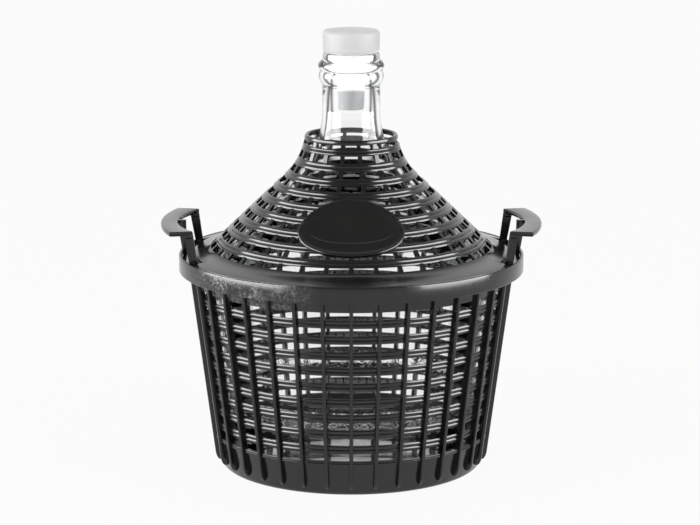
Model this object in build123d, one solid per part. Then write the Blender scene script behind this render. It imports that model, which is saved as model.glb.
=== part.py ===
from build123d import *
import math
import os

# Demijohn: a glass bottle in a moulded plastic basket, under a moulded cover, with a push-in stopper.
# Millimetres, +Z up, origin at the centre of the underside, the front with the oval plate faces -Y.

# Basket wall
WALL = 2.4                  # thickness of the basket wall
BASE_HEIGHT = 26.2          # top of the solid band at the foot
BASE_RADIUS = 99.8          # outer radius of the wall at the top of that band
FLOOR = 3.0                 # thickness of the floor with its foot ring
FLOOR_HOLLOW = 1.2          # depth of the hollow inside the foot ring
FOOT_RING_WIDTH = 10.0
FOOT_EDGE = 3.8             # radius of the rounded edge at the foot
BASE_LEAN = 5.1             # how far the solid band draws in towards the foot
BASE_LIP = 0.8              # bead round the top of the solid band
BASE_LIP_HEIGHT = 2.2

# Rows of slots in the basket wall
ROWS = 10
ROW_PITCH = 11.6
SLOT_HEIGHT = 5.6
GROOVE_DEPTH = 1.4          # each row is a groove all round the wall, and the slots are cut in it
SLOTS_PER_ROW = 12          # one slot in every third space between the ribs

# Upright ribs outside the wall
RIBS = 36
RIB_ANGLE = 1.5             # their sides are radial, about 2.8 apart
RIB_STAND = 2.8             # how far the ribs stand out of the bands
RIB_START = 5.0             # height of their lower ends
RIB_TAPER = 6.0             # height over which the lower end grows out

# Rim: a ledge that carries the cover, and a skirt outside it
RIM_RADIUS = 125.0
RIM_OVERHANG = 8.4          # from the bands, at the height of the ledge, to the outside of the rim
RIM_TOP = 156.6
SKIRT = 2.0
SKIRT_HEIGHT = 12.5
LEDGE = 2.4
LIP_HEIGHT = 2.7            # how far the rim stands above the ledge
RIM_ROUND = 0.8

# Handles, one on each side, moulded with the rim
GRIP_TOP = 180.0
GRIP_THICKNESS = 3.4
GRIP_REACH = RIM_RADIUS + 12.7      # outermost point of the grip
GRIP_END_REACH = RIM_RADIUS + 4.0   # outer corner at each end of the grip
GRIP_INNER_MIDDLE = RIM_RADIUS + 0.5
GRIP_INNER_END = RIM_RADIUS - 12.4
GRIP_HALF_SPAN = 47.0
LEG_SPAN = 42.0             # from the middle of the handle to the middle of each end leg
LEG_THICKNESS = 3.2
LEG_FOOT_WIDTH = 5.4
LEG_HEAD_WIDTH = 6.6
LEG_FOOT_GAP = 0.4          # between the foot of a leg and the skirt
LEG_CHANNEL = 1.2           # depth of the channel in the inner face of each end leg
CHANNEL_EDGE = 1.5
BRACE_THICKNESS = 3.2
BRACE_FOOT = (RIM_RADIUS - 5.8, RIM_RADIUS - 3.2)
BRACE_HEAD = (RIM_RADIUS - 5.3, RIM_RADIUS + 1.0)

# Cover
COVER_WALL = 2.4
COVER_CLEARANCE = 0.4       # between the edge of the cover and the rim
SEAT_GAP = 0.3              # between pieces that rest on each other
FLANGE_WIDTH = 18.6         # from the edge in to where the flange turns up into the cone
CONE_RISE = 5.9             # height of that turn above the ledge
CONE_ANGLE = 44.0           # slope of the cone above level
COVER_MOUTH = 33.45         # outer radius at the top of the cover
NECK_BEND = 48.6            # radius of the curve from the cone up to the top ring
NECK_TURN = 39.4
SEAT_WIDTH = 6.6            # flat under the edge, which rests on the ledge
NOTCH_DEPTH = 8.3           # arc notches in the flange, which clear the handles
NOTCH_ANGLE = 47.0

# Rows of windows in the cover, measured along the slope from the foot of the cone
WINDOW_START = 5.2
WINDOW_HEIGHT = 5.2
LAST_PITCH = 8.8            # the top row is closer, and lower
LAST_HEIGHT = 2.6
TOP_RING = 3.6              # plain ring above the top row
BAR_WIDTH = 3.2
POCKET_DEPTH = 1.5
LOWER_ROWS = 5              # rows with a bar every ten degrees
MIDDLE_ROWS = 4             # rows with half as many
LOWER_BARS = 36
MIDDLE_BARS = 18
TOP_BARS = 9
POCKET_ROWS = 4             # the lowest rows stay closed behind their windows

# Oval plate on the front of the cover
PLATE_WIDTH = 75.0
PLATE_HEIGHT = 49.0
PLATE_CENTRE = 41.0         # along the slope
PLATE_STAND = 0.8
PLATE_ROOT = 1.6
PLATE_BACKING = 0.75        # no window has its middle inside this share of the plate's outline
PLATE_SWEEP = 90            # the plate is cut out of this much of a turn

# Bottle
GLASS = 3.6
BOTTLE_GAP = 3.4            # between the glass and the basket wall
BOTTLE_FOOT_ROUND = 14.0
SHOULDER_GAP = 3.2          # between the glass and the cover
SHOULDER_ROUND = 30.0
THROAT_ROUND = 65.0
NECK_RADIUS = 20.9
BORE_RADIUS = 17.0
NECK_STAND = 59.0           # how far the mouth stands above the cover
MOUTH_RADIUS = 20.5
LIP_DROP = 5.0              # height of the plain lip above the beads
UPPER_BEAD = 23.7           # outer radius of the bead under the lip
UPPER_BEAD_HEIGHT = 8.0
WAIST_RADIUS = 22.0         # between the two beads
LOWER_BEAD = 23.3
LOWER_BEAD_HEIGHT = 10.0

# Stopper
HEAD_RADIUS = 20.4
HEAD_HEIGHT = 15.5
HEAD_ROUND = 2.2
HEAD_DISH = 1.2
DISH_RADIUS = 15.0
HEAD_RELIEF = 1.4           # the narrower ring under the head
HEAD_RELIEF_HEIGHT = 1.3
PLUG_CLEARANCE = 0.35
PLUG_LENGTH = 17.5
PLUG_END_RADIUS = 14.5
STEM_LENGTH = 23.0
STEM_RADIUS = 9.8
STEM_END_RADIUS = 9.0

LEDGE_TOP = RIM_TOP - LIP_HEIGHT
LEDGE_UNDER = LEDGE_TOP - LEDGE
SKIRT_INSIDE = RIM_RADIUS - SKIRT
WALL_FLARE = (RIM_RADIUS - RIM_OVERHANG - BASE_RADIUS) / (LEDGE_TOP - BASE_HEIGHT)

CONE_RADIUS = SKIRT_INSIDE - COVER_CLEARANCE - FLANGE_WIDTH
CONE_FOOT = LEDGE_TOP + CONE_RISE
CONE_OUT = math.cos(math.radians(CONE_ANGLE))
CONE_UP = math.sin(math.radians(CONE_ANGLE))
BEND_OUT = NECK_BEND * (math.sin(math.radians(CONE_ANGLE + NECK_TURN)) - CONE_UP)
BEND_UP = NECK_BEND * (CONE_OUT - math.cos(math.radians(CONE_ANGLE + NECK_TURN)))
CONE_LENGTH = (CONE_RADIUS - COVER_MOUTH - BEND_OUT) / CONE_OUT
COVER_LENGTH = CONE_LENGTH + NECK_BEND * math.radians(NECK_TURN)
LAST_ROW = COVER_LENGTH - TOP_RING - LAST_HEIGHT / 2
WINDOW_PITCH = (LAST_ROW - LAST_PITCH - WINDOW_START) / (LOWER_ROWS + MIDDLE_ROWS - 1)
MOUTH_HEIGHT = CONE_FOOT + CONE_LENGTH * CONE_UP + BEND_UP + NECK_STAND


def wall_radius(z, depth=0.0):
    """Radius of the bands at height z, or of a surface that lies this deep under them."""
    return BASE_RADIUS + WALL_FLARE * (z - BASE_HEIGHT) - depth


def slope_point(s, depth=0.0):
    """Radius and height of the cover at distance s up its slope, this deep under the surface."""
    if s <= CONE_LENGTH:
        radius = CONE_RADIUS - s * CONE_OUT - depth * CONE_UP
        return radius, CONE_FOOT + s * CONE_UP - depth * CONE_OUT
    centre_r = CONE_RADIUS - CONE_LENGTH * CONE_OUT + NECK_BEND * CONE_UP
    centre_z = CONE_FOOT + CONE_LENGTH * CONE_UP + NECK_BEND * CONE_OUT
    turn = math.radians(CONE_ANGLE) + (s - CONE_LENGTH) / NECK_BEND
    reach = NECK_BEND + depth
    return centre_r - reach * math.sin(turn), centre_z - reach * math.cos(turn)


def turned(points, angle=360.0, start=0.0):
    """Solid of revolution of a closed outline of (radius, height) points."""
    face = Plane.XZ * make_face(Polyline(*points, close=True))
    return Rot(0, 0, start) * revolve(face, Axis.Z, angle)


def turned_lines(lines, angle=360.0):
    """Solid of revolution of a closed outline made of lines and arcs."""
    return revolve(Plane.XZ * make_face(lines), Axis.Z, angle)


def side_plate(points, thickness, y):
    """Plate across the Y axis, with its outline given as (x, z) points and its middle at y."""
    face = Plane.XZ * make_face(Polyline(*points, close=True))
    return Pos(0, y, 0) * extrude(face, thickness / 2, both=True)


def row_bounds(row):
    """Lower and upper edge of a row in the basket wall."""
    low = BASE_HEIGHT + row * ROW_PITCH
    return low, low + SLOT_HEIGHT


def faceted(low, high, depth):
    """Solid block between two heights, with a flat for each space between ribs, this deep under the bands."""
    corner = wall_radius(low, depth) / math.cos(math.pi / RIBS)
    outline = Pos(0, 0, low) * RegularPolygon(corner, RIBS)
    return extrude(outline, high - low, taper=-math.degrees(math.atan(WALL_FLARE)))


def bands():
    """Wall outside the grooves: a block as wide as their bottoms, with a wider one for each band."""
    blocks = [faceted(BASE_HEIGHT, LEDGE_TOP, GROOVE_DEPTH)]
    for row in range(ROWS):
        top = row_bounds(row + 1)[0] if row < ROWS - 1 else LEDGE_UNDER
        blocks.append(faceted(row_bounds(row)[1], top, 0))
    return blocks


def rim_outline():
    """Ledge and skirt, from the wall outwards and back to the top of the wall's inside."""
    bottom = RIM_TOP - SKIRT_HEIGHT
    return [
        (SKIRT_INSIDE, LEDGE_UNDER),
        (SKIRT_INSIDE, bottom),
        (RIM_RADIUS, bottom),
        (RIM_RADIUS, RIM_TOP - RIM_ROUND),
        (RIM_RADIUS - RIM_ROUND, RIM_TOP),
        (SKIRT_INSIDE, RIM_TOP),
        (SKIRT_INSIDE, LEDGE_TOP),
        (wall_radius(LEDGE_TOP, WALL), LEDGE_TOP),
    ]


def foot_outline():
    """Outside of the foot and of the solid band above it, and the ring it stands on."""
    foot = BASE_RADIUS - BASE_LEAN
    lip_low = BASE_HEIGHT - BASE_LIP_HEIGHT
    ring = foot - FOOT_EDGE - FOOT_RING_WIDTH
    edge = ThreePointArc(
        (foot - FOOT_EDGE, 0),
        (foot - FOOT_EDGE * (1 - math.sqrt(0.5)), FOOT_EDGE * (1 - math.sqrt(0.5))),
        (foot, FOOT_EDGE),
    )
    upward = [
        (foot, FOOT_EDGE),
        (BASE_RADIUS, lip_low),
        (BASE_RADIUS + BASE_LIP, lip_low),
        (BASE_RADIUS + BASE_LIP, BASE_HEIGHT),
        (0, BASE_HEIGHT),
    ]
    under = [(0, BASE_HEIGHT), (0, FLOOR_HOLLOW), (ring, FLOOR_HOLLOW), (ring, 0), (foot - FOOT_EDGE, 0)]
    return edge + Polyline(*upward) + Polyline(*under)


def basket_shell():
    """Floor, foot, wall, ledge and skirt, hollowed in one go."""
    floor = BASE_RADIUS - BASE_LEAN - WALL
    hollow = [
        (0, FLOOR),
        (floor, FLOOR),
        (wall_radius(BASE_HEIGHT, WALL), BASE_HEIGHT),
        (wall_radius(LEDGE_TOP, WALL), LEDGE_TOP),
        (0, LEDGE_TOP),
    ]
    rim = turned([(wall_radius(LEDGE_UNDER, WALL), LEDGE_UNDER), *rim_outline()])
    return turned_lines(foot_outline()) + bands() + rim - turned(hollow)


def rib():
    """One upright rib, from near the foot to the ledge, rooted behind the grooves."""
    root = (GROOVE_DEPTH + WALL) / 2
    grown = RIB_START + RIB_TAPER
    top = LEDGE_UNDER + LEDGE / 2
    points = [
        (wall_radius(RIB_START, root), RIB_START),
        (wall_radius(RIB_START, -RIB_STAND / 3), RIB_START),
        (wall_radius(grown, -RIB_STAND), grown),
        (wall_radius(top, -RIB_STAND), top),
        (wall_radius(top, root), top),
    ]
    return turned(points, RIB_ANGLE, -RIB_ANGLE / 2)


def slots():
    """Cutters for the slots, a row of them in every groove."""
    cutters = []
    angle = 360 / RIBS - RIB_ANGLE
    for row in range(ROWS):
        low, high = row_bounds(row)
        inner = wall_radius(low, 2 * WALL)
        outer = wall_radius(high, -WALL)
        section = [(inner, low), (outer, low), (outer, high), (inner, high)]
        for slot in range(SLOTS_PER_ROW):
            middle = (slot + 0.5) * 360 / SLOTS_PER_ROW
            cutters.append(turned(section, angle, middle - angle / 2))
    return cutters


def leg_line():
    """Outer edge of an end leg: its x at the ledge and under the grip."""
    corner = LEG_SPAN + LEG_THICKNESS / 2
    foot = math.sqrt((SKIRT_INSIDE - LEG_FOOT_GAP) ** 2 - corner ** 2)
    return foot, GRIP_INNER_END + LEG_HEAD_WIDTH


def end_leg(side):
    """End leg of the right handle, a leaning plate with a channel in its inner face."""
    foot, head = leg_line()
    low = LEDGE_TOP - LEDGE / 2
    high = GRIP_TOP - GRIP_THICKNESS / 2
    outline = [
        (foot - LEG_FOOT_WIDTH, low),
        (foot, low),
        (head, high),
        (head - LEG_HEAD_WIDTH, high),
    ]
    channel = [
        (foot - LEG_FOOT_WIDTH + CHANNEL_EDGE, LEDGE_TOP + CHANNEL_EDGE),
        (foot - CHANNEL_EDGE, LEDGE_TOP + CHANNEL_EDGE),
        (head - CHANNEL_EDGE, high - GRIP_THICKNESS),
        (head - LEG_HEAD_WIDTH + CHANNEL_EDGE, high - GRIP_THICKNESS),
    ]
    inner_face = LEG_SPAN - LEG_THICKNESS / 2
    plate = side_plate(outline, LEG_THICKNESS, side * LEG_SPAN)
    return plate - side_plate(channel, 2 * LEG_CHANNEL, side * inner_face)


def brace():
    """Middle leg of the right handle."""
    low = LEDGE_TOP - LEDGE / 2
    high = GRIP_TOP - GRIP_THICKNESS / 2
    points = [(BRACE_FOOT[0], low), (BRACE_FOOT[1], low), (BRACE_HEAD[1], high), (BRACE_HEAD[0], high)]
    cap = [
        (BRACE_HEAD[0], high - GRIP_THICKNESS / 2),
        (BRACE_HEAD[1], high - GRIP_THICKNESS / 2),
        (BRACE_HEAD[1], GRIP_TOP),
        (BRACE_HEAD[0], GRIP_TOP),
    ]
    return side_plate(points, BRACE_THICKNESS, 0) + side_plate(cap, BRACE_THICKNESS, 0)


def grip():
    """Crescent plate that the hand takes hold of."""
    end = LEG_SPAN + LEG_THICKNESS / 2
    outer = ThreePointArc(
        (GRIP_END_REACH, -GRIP_HALF_SPAN), (GRIP_REACH, 0), (GRIP_END_REACH, GRIP_HALF_SPAN)
    )
    inner = ThreePointArc((GRIP_INNER_END, -end), (GRIP_INNER_MIDDLE, 0), (GRIP_INNER_END, end))
    near = Line((GRIP_INNER_END, -end), (GRIP_END_REACH, -GRIP_HALF_SPAN))
    far = Line((GRIP_END_REACH, GRIP_HALF_SPAN), (GRIP_INNER_END, end))
    face = make_face(outer + inner + near + far)
    return Pos(0, 0, GRIP_TOP - GRIP_THICKNESS) * extrude(face, GRIP_THICKNESS)


def handle():
    """The right handle."""
    return [grip(), brace(), end_leg(-1), end_leg(1)]


def basket():
    """Basket with its ribs, slots, rim and handles."""
    shell = basket_shell() - slots()
    ribs = [Rot(0, 0, 360 / RIBS * place) * rib() for place in range(RIBS)]
    handles = [Rot(0, 0, turn) * piece for turn in (0, 180) for piece in handle()]
    return shell + (ribs + handles)


def cover_shell():
    """Flange, cone and top ring, turned in one piece."""
    edge = SKIRT_INSIDE - COVER_CLEARANCE
    seat = LEDGE_TOP + SEAT_GAP
    outer_arc = ThreePointArc(
        slope_point(CONE_LENGTH), slope_point((CONE_LENGTH + COVER_LENGTH) / 2), slope_point(COVER_LENGTH)
    )
    inner_arc = ThreePointArc(
        slope_point(COVER_LENGTH, COVER_WALL),
        slope_point((CONE_LENGTH + COVER_LENGTH) / 2, COVER_WALL),
        slope_point(CONE_LENGTH, COVER_WALL),
    )
    rest = Polyline(
        slope_point(CONE_LENGTH, COVER_WALL),
        slope_point(0, COVER_WALL),
        (edge - SEAT_WIDTH, seat),
        (edge, seat),
        (edge, RIM_TOP),
        slope_point(0),
        slope_point(CONE_LENGTH),
    )
    top = Line(slope_point(COVER_LENGTH), slope_point(COVER_LENGTH, COVER_WALL))
    return turned_lines(outer_arc + top + inner_arc + rest)


def window_rows():
    """Middle, height, number of bars and depth of each row of windows, from the lowest."""
    rows = []
    for row in range(LOWER_ROWS + MIDDLE_ROWS):
        bars = LOWER_BARS if row < LOWER_ROWS else MIDDLE_BARS
        depth = POCKET_DEPTH if row < POCKET_ROWS else COVER_WALL + 1
        rows.append((WINDOW_START + row * WINDOW_PITCH, WINDOW_HEIGHT, bars, depth))
    rows.append((LAST_ROW, LAST_HEIGHT, TOP_BARS, COVER_WALL + 1))
    return rows


def behind_plate(middle, azimuth):
    """Whether a window at this distance up the slope and this azimuth lies under the oval plate."""
    across = slope_point(middle)[0] * math.sin(math.radians(azimuth + 90)) / (PLATE_WIDTH / 2)
    along = (middle - PLATE_CENTRE) / (PLATE_HEIGHT / 2)
    facing = math.sin(math.radians(azimuth)) < 0
    return facing and math.hypot(across, along) < PLATE_BACKING


def windows():
    """Cutters for the windows of the cover."""
    cutters = []
    for middle, height, bars, depth in window_rows():
        low = middle - height / 2
        high = middle + height / 2
        section = [
            slope_point(low, -1),
            slope_point(high, -1),
            slope_point(high, depth),
            slope_point(low, depth),
        ]
        step = 360 / bars
        angle = step - math.degrees(BAR_WIDTH / slope_point(middle)[0])
        first_bar = -90 if bars == LOWER_BARS else -90 - 360 / LOWER_BARS
        for window in range(bars):
            azimuth = first_bar + (window + 0.5) * step
            if not behind_plate(middle, azimuth):
                cutters.append(turned(section, angle, azimuth - angle / 2))
    return cutters


def oval_plate():
    """Oval plate on the front, which follows the cone."""
    low = PLATE_CENTRE - PLATE_HEIGHT
    high = min(PLATE_CENTRE + PLATE_HEIGHT, CONE_LENGTH)
    section = [
        slope_point(low, -PLATE_STAND),
        slope_point(high, -PLATE_STAND),
        slope_point(high, PLATE_ROOT),
        slope_point(low, PLATE_ROOT),
    ]
    radius, height = slope_point(PLATE_CENTRE)
    front = Plane(origin=(0, -radius, height), x_dir=(1, 0, 0), z_dir=(0, -CONE_UP, CONE_OUT))
    outline = extrude(front * Ellipse(PLATE_WIDTH / 2, PLATE_HEIGHT / 2), PLATE_WIDTH / 3, both=True)
    return turned(section, PLATE_SWEEP, -90 - PLATE_SWEEP / 2) & outline


def notches():
    """Cutters for the two arc notches that clear the handles."""
    outer = RIM_RADIUS
    inner = SKIRT_INSIDE - COVER_CLEARANCE - NOTCH_DEPTH
    section = [(inner, LEDGE_TOP - 1), (outer, LEDGE_TOP - 1), (outer, CONE_FOOT), (inner, CONE_FOOT)]
    return [turned(section, NOTCH_ANGLE, side - NOTCH_ANGLE / 2) for side in (0, 180)]


def cover():
    """Cover with its windows, notches and oval plate."""
    return cover_shell() - (windows() + notches()) + oval_plate()


def bottle_outline(wall, neck):
    """Corners and fillets of the body, from the middle of its foot up to the neck, this deep in the glass."""
    foot = FLOOR + SEAT_GAP + wall
    body_low = wall_radius(BOTTLE_FOOT_ROUND, WALL + BOTTLE_GAP) - wall
    edge_r, edge_z = slope_point(0, COVER_WALL + SHOULDER_GAP + wall)
    climb = math.tan(math.radians(CONE_ANGLE))
    body = wall_radius(LEDGE_UNDER, WALL + BOTTLE_GAP + WALL_FLARE * SHOULDER_ROUND) - wall
    shoulder_z = edge_z - (body - edge_r) * climb
    throat_z = edge_z + (edge_r - neck) * climb
    corners = [(0, foot), (body_low, foot), (body, shoulder_z), (neck, throat_z)]
    return corners, [BOTTLE_FOOT_ROUND - wall, SHOULDER_ROUND - wall, THROAT_ROUND + wall]


def bottle():
    """Hollow glass bottle with two beads round its neck."""
    lip = (MOUTH_RADIUS, MOUTH_HEIGHT - LIP_DROP)
    waist = (WAIST_RADIUS, lip[1] - UPPER_BEAD_HEIGHT)
    neck = (NECK_RADIUS, waist[1] - LOWER_BEAD_HEIGHT)
    outer_corners, outer_radii = bottle_outline(0, NECK_RADIUS)
    inner_corners, inner_radii = bottle_outline(GLASS, BORE_RADIUS)
    outside = FilletPolyline(*outer_corners, neck, radius=outer_radii)
    inside = FilletPolyline(*inner_corners, (BORE_RADIUS, MOUTH_HEIGHT), radius=inner_radii)
    lower = ThreePointArc(neck, (LOWER_BEAD, (neck[1] + waist[1]) / 2), waist)
    upper = ThreePointArc(waist, (UPPER_BEAD, (waist[1] + lip[1]) / 2), lip)
    mouth = Polyline(lip, (MOUTH_RADIUS, MOUTH_HEIGHT), (BORE_RADIUS, MOUTH_HEIGHT))
    foot = Line(inner_corners[0], outer_corners[0])
    return turned_lines(outside + lower + upper + mouth + inside + foot)


def stopper():
    """Push-in stopper: dished head, tapered plug and stem."""
    seat = MOUTH_HEIGHT + SEAT_GAP
    top = seat + HEAD_HEIGHT
    plug_end = MOUTH_HEIGHT - PLUG_LENGTH
    stem_end = plug_end - STEM_LENGTH
    dish = ThreePointArc((0, top - HEAD_DISH), (DISH_RADIUS / 2, top - 0.75 * HEAD_DISH), (DISH_RADIUS, top))
    points = [
        (DISH_RADIUS, top),
        (HEAD_RADIUS - HEAD_ROUND, top),
        (HEAD_RADIUS, top - HEAD_ROUND),
        (HEAD_RADIUS, seat + HEAD_RELIEF_HEIGHT),
        (HEAD_RADIUS - HEAD_RELIEF, seat + HEAD_RELIEF_HEIGHT),
        (HEAD_RADIUS - HEAD_RELIEF, seat),
        (BORE_RADIUS - PLUG_CLEARANCE, seat),
        (PLUG_END_RADIUS, plug_end),
        (STEM_RADIUS, plug_end),
        (STEM_END_RADIUS, stem_end),
        (0, stem_end),
        (0, top - HEAD_DISH),
    ]
    return turned_lines(dish + Polyline(*points))


os.makedirs("parts", exist_ok=True)
for name, piece in (("basket", basket()), ("cover", cover()), ("bottle", bottle()), ("stopper", stopper())):
    export_step(piece, f"parts/{name}.step")
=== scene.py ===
"""Looks of a demijohn: a clear glass bottle in a black basket, under a black cover, with a milky stopper."""
import logging
import math
from collections.abc import Callable, Sequence
from dataclasses import dataclass, field
from enum import Enum

import bmesh
import bpy
import numpy as np
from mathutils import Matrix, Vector


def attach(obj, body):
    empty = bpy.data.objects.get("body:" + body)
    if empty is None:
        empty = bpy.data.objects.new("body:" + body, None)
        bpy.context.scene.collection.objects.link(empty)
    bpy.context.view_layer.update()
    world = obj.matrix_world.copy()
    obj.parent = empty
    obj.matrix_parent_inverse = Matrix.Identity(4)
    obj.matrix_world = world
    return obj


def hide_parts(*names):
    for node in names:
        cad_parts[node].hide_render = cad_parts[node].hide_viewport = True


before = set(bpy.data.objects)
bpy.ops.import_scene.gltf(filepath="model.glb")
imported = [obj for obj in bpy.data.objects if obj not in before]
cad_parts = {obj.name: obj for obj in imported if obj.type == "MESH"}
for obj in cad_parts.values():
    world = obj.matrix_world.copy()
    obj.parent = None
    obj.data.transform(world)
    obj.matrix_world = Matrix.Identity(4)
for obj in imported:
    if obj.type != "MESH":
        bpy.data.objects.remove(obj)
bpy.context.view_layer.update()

log = logging.getLogger("demijohn")

MM = 0.001
MERGE_DISTANCE = 1e-7
REED_SPREAD = math.radians(50)
REED_CHAMFER = 0.12
VESSEL = "demijohn"

Point = tuple[float, float]
Spot = tuple[float, float, float]
Colour = tuple[float, float, float]
Outline = list[Point]
Place = Callable[[float, float], Point]
Socket = bpy.types.NodeSocket


class Slot(Enum):
    """The record's material slots."""

    BLACK = "black_plastic"
    GLASS = "clear_glass"
    MILKY = "milky_plastic"


def rounded(corners: Sequence[Point], radii: Sequence[float], steps: int = 4, closed: bool = True) -> Outline:
    """Rounds the corners of an outline with arcs.

    Args:
        corners: The corners of the outline, in order.
        radii: One radius for each corner, 0 for a corner that stays sharp.
        steps: How many pieces each arc has.
        closed: Whether the last corner is joined to the first.

    Returns:
        The outline's points.
    """
    points: Outline = []
    count = len(corners)
    for index, radius in enumerate(radii):
        here = np.array(corners[index], float)
        if radius <= 0 or (not closed and index in (0, count - 1)):
            points.append((here[0], here[1]))
            continue
        back = np.array(corners[index - 1], float) - here
        ahead = np.array(corners[(index + 1) % count], float) - here
        back /= np.linalg.norm(back)
        ahead /= np.linalg.norm(ahead)
        half = math.acos(float(np.clip(back @ ahead, -1, 1))) / 2
        centre = here + (back + ahead) / np.linalg.norm(back + ahead) * radius / math.sin(half)
        first = here + back * radius / math.tan(half) - centre
        last = here + ahead * radius / math.tan(half) - centre
        turn = math.pi - 2 * half
        for step in range(steps + 1):
            share = step / steps
            spoke = math.sin((1 - share) * turn) * first + math.sin(share * turn) * last
            spot = centre + spoke / math.sin(turn)
            points.append((spot[0], spot[1]))
    return points


class Draft:
    """The mesh of one piece while it is made, in millimetres."""

    def __init__(self) -> None:
        """Starts with no points and no faces."""
        self.points: list[Spot] = []
        self.faces: list[list[int]] = []

    def skin(self, loops: np.ndarray, ring: bool, loop_closed: bool = True) -> None:
        """Joins a row of loops with quads.

        Args:
            loops: The loops' points, as an array of loops by points by 3.
            ring: Whether the last loop is joined to the first. Otherwise both are closed with a face.
            loop_closed: Whether each loop's last point is joined to its first.
        """
        rows, count = loops.shape[:2]
        start = len(self.points)
        self.points.extend(map(tuple, loops.reshape(-1, 3)))
        for row in range(rows if ring else rows - 1):
            above = (row + 1) % rows
            for spot in range(count if loop_closed else count - 1):
                beside = (spot + 1) % count
                corners = ((row, spot), (row, beside), (above, beside), (above, spot))
                self.faces.append([start + a * count + b for a, b in corners])
        if not ring:
            self.faces.append([start + spot for spot in range(count)])
            self.faces.append([start + (rows - 1) * count + spot for spot in range(count)])

    def turn(
        self, outline: Outline, steps: int, closed: bool = True, start: float = 0.0, sweep: float = 360.0
    ) -> None:
        """Turns an outline of radius and height round the upright axis.

        Args:
            outline: The outline's points.
            steps: How many pieces the turn has.
            closed: Whether the outline is a closed loop. An open one starts and ends on the axis.
            start: The first angle, in degrees from +X.
            sweep: How far it turns, in degrees.
        """
        whole = sweep >= 360
        angles = np.radians(start + sweep * np.arange(steps if whole else steps + 1) / steps)
        flat = np.array(outline, float)
        loops = np.empty((len(angles), len(flat), 3))
        loops[..., 0] = np.cos(angles)[:, None] * flat[None, :, 0]
        loops[..., 1] = np.sin(angles)[:, None] * flat[None, :, 0]
        loops[..., 2] = flat[None, :, 1]
        self.skin(loops, ring=whole, loop_closed=closed)

    def piece(self, name: str, crease: float = 38.0) -> bpy.types.Object:
        """Makes the Blender object.

        Args:
            name: The object's name.
            crease: The angle between faces, in degrees, over which an edge stays sharp.

        Returns:
            The object, in metres, linked to the scene.
        """
        mesh = bpy.data.meshes.new(name)
        mesh.from_pydata([tuple(c * MM for c in p) for p in self.points], [], self.faces)
        form = bmesh.new()
        form.from_mesh(mesh)
        bmesh.ops.remove_doubles(form, verts=form.verts, dist=MERGE_DISTANCE)
        bmesh.ops.recalc_face_normals(form, faces=form.faces)
        form.to_mesh(mesh)
        form.free()
        mesh.polygons.foreach_set("use_smooth", [True] * len(mesh.polygons))
        mesh.set_sharp_from_angle(angle=math.radians(crease))
        made = bpy.data.objects.new(name, mesh)
        bpy.context.scene.collection.objects.link(made)
        return made


def settle(piece: bpy.types.Object, finish: bpy.types.Material, slot: Slot, body: str, *nodes: str) -> None:
    """Dresses a piece, sets it on its body and hides the nodes that it stands for.

    Args:
        piece: The piece.
        finish: Its material.
        slot: The record's material slot of its finish. It is not used.
        body: The body that it rides on.
        *nodes: The nodes that it stands for.
    """
    piece.data.materials.append(finish)
    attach(piece, body)
    if nodes:
        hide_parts(*nodes)
    log.info("%s: %d faces", piece.name, len(piece.data.polygons))


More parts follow.
